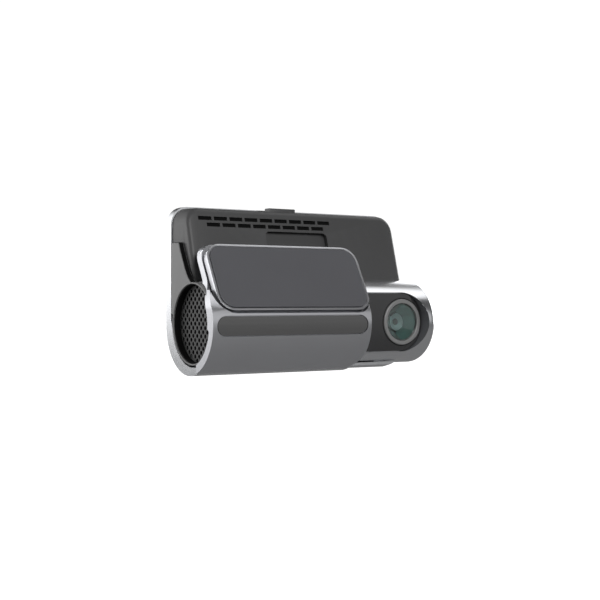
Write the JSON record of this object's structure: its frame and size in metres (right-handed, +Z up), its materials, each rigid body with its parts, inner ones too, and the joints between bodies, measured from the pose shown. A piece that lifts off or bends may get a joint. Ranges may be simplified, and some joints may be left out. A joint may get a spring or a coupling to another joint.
{
  "type": "windscreen dash camera",
  "caption": "Windscreen dash camera with rear display, end speaker, tilting lens barrel, top push button and a slide-off adhesive mount.",
  "frame": {"origin": "middle of the adhesive pad's outer face, where it meets the windscreen", "axes": "+X along the body towards the lens barrel, +Y towards the driver, +Z up; the pad's face leans back 28 degrees"},
  "size_m": [0.1078, 0.041, 0.066],
  "materials": {
    "satin_silver": "satin silver metallic coat",
    "grey_metal": "fine-blasted grey anodised",
    "black_plastic": "fine moulded grain",
    "grey_plastic": "satin",
    "speaker_grille": "perforated, dark coat",
    "dark_strip": "satin",
    "adhesive": "smooth foam tape with a satin film",
    "gloss_black": "gloss",
    "clear_glass": "coated",
    "screen_glass": "dark glossy cover glass",
    "display": "display panel",
    "ring_grey": "satin warm grey",
    "circuit_board": "solder mask",
    "steel": "plain",
    "heat_sink_metal": "plain",
    "dark_plastic": "matt",
    "ceramic": "fired ceramic",
    "capacitor_sleeve": "shrink sleeve"
  },
  "bodies": {
    "mount": {"mount_plate": "grey_metal", "adhesive_pad": "adhesive"},
    "camera": {"rear_shell": "satin_silver", "front_cover": "grey_metal", "main_housing": "black_plastic", "service_panel": "black_plastic", "left_end_cap": "grey_plastic", "speaker_mesh": "speaker_grille", "label_strip": "dark_strip", "screen_glass": "screen_glass", "display_panel": "display", "main_board": "circuit_board", "friction_washer": "steel", "board_screw_1": "steel", "board_screw_2": "steel", "board_screw_3": "steel", "board_screw_4": "steel", "processor_shield": "steel", "card_socket": "steel", "usb_c_port": "steel", "microphone": "steel", "speaker_magnet": "steel", "heat_sink": "heat_sink_metal", "speaker_basket": "dark_plastic", "speaker_cone": "dark_plastic", "pivot_bulkhead": "dark_plastic", "button_switch": "dark_plastic", "gps_antenna": "ceramic", "supercapacitor_1": "capacitor_sleeve", "supercapacitor_2": "capacitor_sleeve"},
    "barrel": {"barrel_shell": "satin_silver", "lens_window": "gloss_black", "lens_ring": "ring_grey", "cover_glass": "clear_glass", "lens_hood": "gloss_black", "front_element": "clear_glass", "lens_tube": "dark_plastic", "lens_holder": "dark_plastic", "image_sensor": "dark_plastic", "sensor_board": "circuit_board", "pivot_shaft": "steel", "shaft_clip": "steel"},
    "button": {"top_button": "black_plastic"},
    "card": {"microsd_card": "dark_plastic"}
  },
  "joints": [
    {"name": "mount_release", "type": "slide", "parent": "mount", "child": "camera", "axis": [0, -0.4695, -0.8829], "range_m": [0, 0.026]},
    {"name": "barrel_tilt", "type": "hinge", "parent": "camera", "child": "barrel", "pos_m": [0.05365, 0.01222, -0.01785], "axis": [1, 0, 0], "range_deg": [-30, 45]},
    {"name": "top_button_press", "type": "slide", "parent": "camera", "child": "button", "axis": [0, 0, -1], "range_m": [0, 0.0005], "stiffness_N_per_m": 600, "springref_m": -0.0002},
    {"name": "card_slide", "type": "slide", "parent": "camera", "child": "card", "axis": [1, 0, 0], "range_m": [0, 0.0155]}
  ]
}
